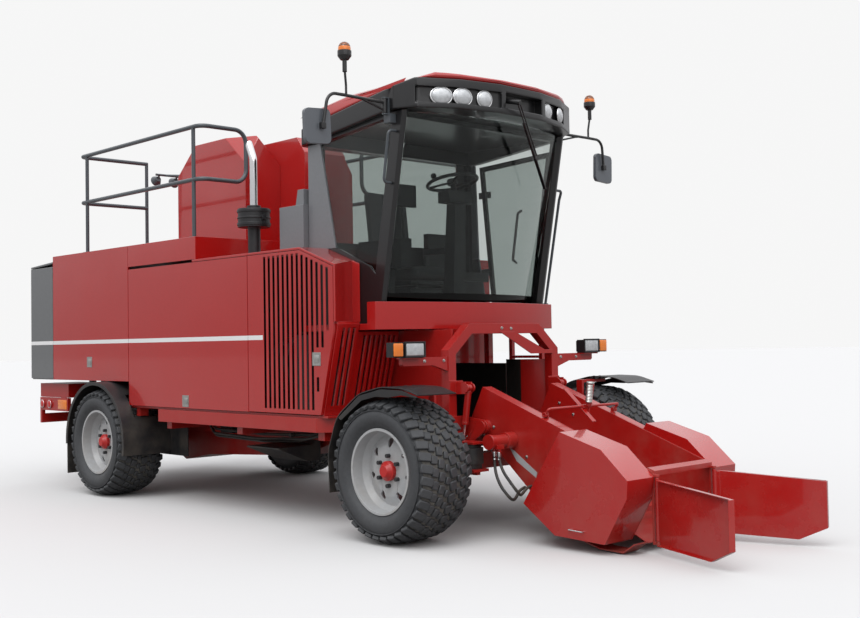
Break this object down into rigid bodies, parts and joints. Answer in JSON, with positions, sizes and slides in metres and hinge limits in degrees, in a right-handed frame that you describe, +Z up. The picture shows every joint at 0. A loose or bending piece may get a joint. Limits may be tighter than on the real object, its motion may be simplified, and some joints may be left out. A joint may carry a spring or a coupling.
{
  "type": "self-propelled bale packer",
  "caption": "Self-propelled small square bale packer with a driver's cab, front pickup chute, packing tower and four wheels",
  "frame": {"origin": "on the ground plane under the middle of the machine's bounding box", "axes": "+X forward towards the pickup, +Y to the machine's left, +Z up"},
  "size_m": [8.3, 3.5774, 3.6638],
  "materials": {
    "red_paint": "gloss",
    "black_paint": "satin",
    "dark_grey_paint": "satin",
    "grey_paint": "satin",
    "silver_paint": "satin",
    "chrome": "polished",
    "steel": "satin",
    "tyre": "dusty",
    "rubber": "matte",
    "black_plastic": "matte",
    "lamp_plastic": "gloss",
    "fabric": "woven",
    "tinted_glass": "polished"
  },
  "bodies": {
    "chassis": {"main_frame": "red_paint", "front_axle_beam": "red_paint", "rear_axle_beam": "red_paint", "air_springs": "rubber", "front_gantry": "red_paint", "headlamps": "lamp_plastic", "rear_mudguards": "black_plastic", "rear_light_bar": "red_paint", "bale_tunnel": "red_paint", "service_deck": "red_paint", "hood_shell": "red_paint", "rear_side_shields": "black_paint", "bale_tower": "red_paint", "guard_rails": "dark_grey_paint", "engine_and_tanks": "dark_grey_paint", "air_precleaner": "black_plastic", "exhaust_stack": "chrome", "underbody_hoses": "rubber", "cab_platform": "black_paint", "cab_frame": "black_paint", "cab_rear_panels": "grey_paint", "cab_glass": "tinted_glass", "roof_fascia": "black_plastic", "cab_roof": "red_paint", "seat_pedestal": "black_plastic", "steering_column": "black_plastic"},
    "steering_wheel": {"steering_wheel": "black_plastic"},
    "cab_door_left": {"cab_door_left": "tinted_glass"},
    "wiper_arm": {"wiper_arm": "black_paint"},
    "seat": {"seat_cushion": "fabric"},
    "mirror_right": {"mirror_right": "black_paint"},
    "knuckle_right": {"knuckle_right": "red_paint", "fender_right": "black_plastic"},
    "wheel_front_right": {"rim_front_right": "silver_paint", "tyre_front_right": "tyre"},
    "wheel_rear_right": {"rim_rear_right": "silver_paint", "tyre_rear_right": "tyre"},
    "mirror_left": {"mirror_left": "black_paint"},
    "knuckle_left": {"knuckle_left": "red_paint", "fender_left": "black_plastic"},
    "wheel_front_left": {"rim_front_left": "silver_paint", "tyre_front_left": "tyre"},
    "wheel_rear_left": {"rim_rear_left": "silver_paint", "tyre_rear_left": "tyre"},
    "pickup": {"pickup_frame": "red_paint", "pickup_covers": "red_paint", "pickup_motor": "red_paint", "motor_hose_front": "rubber", "motor_hose_rear": "rubber"},
    "feed_sprocket": {"feed_sprocket": "steel"},
    "hold_down": {"hold_down": "red_paint"},
    "wing_right": {"wing_right": "red_paint"},
    "wing_left": {"wing_left": "red_paint"},
    "lift_barrels": {"lift_barrels": "red_paint"},
    "lift_rods": {"lift_rods": "chrome"},
    "door_rear_right": {"door_rear_right": "red_paint"},
    "door_rear_left": {"door_rear_left": "red_paint"},
    "door_mid_right": {"door_mid_right": "red_paint"},
    "door_mid_left": {"door_mid_left": "red_paint"},
    "door_louvre_right": {"door_louvre_right": "red_paint"}
  },
  "joints": [
    {"name": "steer_right", "type": "hinge", "parent": "chassis", "child": "knuckle_right", "pos_m": [1.75, -0.85, 0.525], "axis": [0, 0, 1], "range_deg": [-20, 20]},
    {"name": "steer_left", "type": "hinge", "parent": "chassis", "child": "knuckle_left", "pos_m": [1.75, 0.85, 0.525], "axis": [0, 0, 1], "range_deg": [-20, 20]},
    {"name": "steering_wheel_turn", "type": "hinge", "parent": "chassis", "child": "steering_wheel", "pos_m": [1.358, -0.18, 2.752], "axis": [-0.2149, 0, 0.9766], "range_deg": [-480, 480]},
    {"name": "spin_front_right", "type": "hinge", "parent": "knuckle_right", "child": "wheel_front_right", "pos_m": [1.75, -1.15, 0.525], "axis": [0, 1, 0], "continuous": true},
    {"name": "spin_rear_right", "type": "hinge", "parent": "chassis", "child": "wheel_rear_right", "pos_m": [-2.447, -1.15, 0.525], "axis": [0, 1, 0], "continuous": true},
    {"name": "spin_front_left", "type": "hinge", "parent": "knuckle_left", "child": "wheel_front_left", "pos_m": [1.75, 1.15, 0.525], "axis": [0, 1, 0], "continuous": true},
    {"name": "spin_rear_left", "type": "hinge", "parent": "chassis", "child": "wheel_rear_left", "pos_m": [-2.447, 1.15, 0.525], "axis": [0, 1, 0], "continuous": true},
    {"name": "pickup_lift", "type": "hinge", "parent": "chassis", "child": "pickup", "pos_m": [1.95, 0, 0.8], "axis": [0, -1, 0], "range_deg": [0, 18]},
    {"name": "lift_barrel_turn", "type": "hinge", "parent": "chassis", "child": "lift_barrels", "pos_m": [1.86, 0, 1.095], "axis": [0, -1, 0], "range_deg": [0, 7]},
    {"name": "lift_rod_slide", "type": "slide", "parent": "lift_barrels", "child": "lift_rods", "axis": [-0.1589, 0, -0.9873], "range_m": [0, 0.04]},
    {"name": "wing_right_swing", "type": "hinge", "parent": "pickup", "child": "wing_right", "pos_m": [3.42, -0.348, 0.3], "axis": [0, 0, -1], "range_deg": [-15, 15]},
    {"name": "wing_left_swing", "type": "hinge", "parent": "pickup", "child": "wing_left", "pos_m": [3.42, 0.348, 0.3], "axis": [0, 0, 1], "range_deg": [-15, 15]},
    {"name": "hold_down_tilt", "type": "hinge", "parent": "pickup", "child": "hold_down", "pos_m": [2.5, 0, 0.905], "axis": [0, -1, 0], "range_deg": [0, 25]},
    {"name": "feed_spin", "type": "hinge", "parent": "pickup", "child": "feed_sprocket", "pos_m": [2.21, -0.4, 0.712], "axis": [0, 1, 0], "continuous": true},
    {"name": "cab_door_swing", "type": "hinge", "parent": "chassis", "child": "cab_door_left", "pos_m": [0.556, 0.99, 2.4], "axis": [0, 0, 1], "range_deg": [0, 70]},
    {"name": "door_rear_right_lift", "type": "hinge", "parent": "chassis", "child": "door_rear_right", "pos_m": [-2.82, -1.25, 2.427], "axis": [-1, 0, 0], "range_deg": [0, 80]},
    {"name": "door_mid_right_lift", "type": "hinge", "parent": "chassis", "child": "door_mid_right", "pos_m": [-1.02, -1.25, 2.196], "axis": [-1, 0, 0], "range_deg": [0, 80]},
    {"name": "door_rear_left_lift", "type": "hinge", "parent": "chassis", "child": "door_rear_left", "pos_m": [-2.82, 1.25, 2.427], "axis": [1, 0, 0], "range_deg": [0, 80]},
    {"name": "door_mid_left_lift", "type": "hinge", "parent": "chassis", "child": "door_mid_left", "pos_m": [-1.02, 1.25, 2.196], "axis": [1, 0, 0], "range_deg": [0, 80]},
    {"name": "door_louvre_swing", "type": "hinge", "parent": "chassis", "child": "door_louvre_right", "pos_m": [-0.02, -1.25, 1.5], "axis": [0, 0, -1], "range_deg": [0, 80]},
    {"name": "mirror_right_fold", "type": "hinge", "parent": "chassis", "child": "mirror_right", "pos_m": [1.5, -1.036, 3.26], "axis": [0, 0, -1], "range_deg": [0, 60]},
    {"name": "mirror_left_fold", "type": "hinge", "parent": "chassis", "child": "mirror_left", "pos_m": [1.5, 1.036, 3.26], "axis": [0, 0, 1], "range_deg": [0, 60]},
    {"name": "wiper_sweep", "type": "hinge", "parent": "chassis", "child": "wiper_arm", "pos_m": [2.03, -0.1, 3.31], "axis": [-0.9548, -0.2, 0.22], "range_deg": [0, 65]},
    {"name": "seat_slide", "type": "slide", "parent": "chassis", "child": "seat", "axis": [1, 0, 0], "range_m": [0, 0.1]}
  ],
  "couplings": [
    {"joint": "steer_left", "follows": "steer_right", "ratio": 1},
    {"joint": "steering_wheel_turn", "follows": "steer_right", "ratio": 24},
    {"joint": "lift_barrel_turn", "follows": "pickup_lift", "ratio": 0.3817},
    {"joint": "lift_rod_slide", "follows": "pickup_lift", "m_per_rad": 0.119}
  ]
}
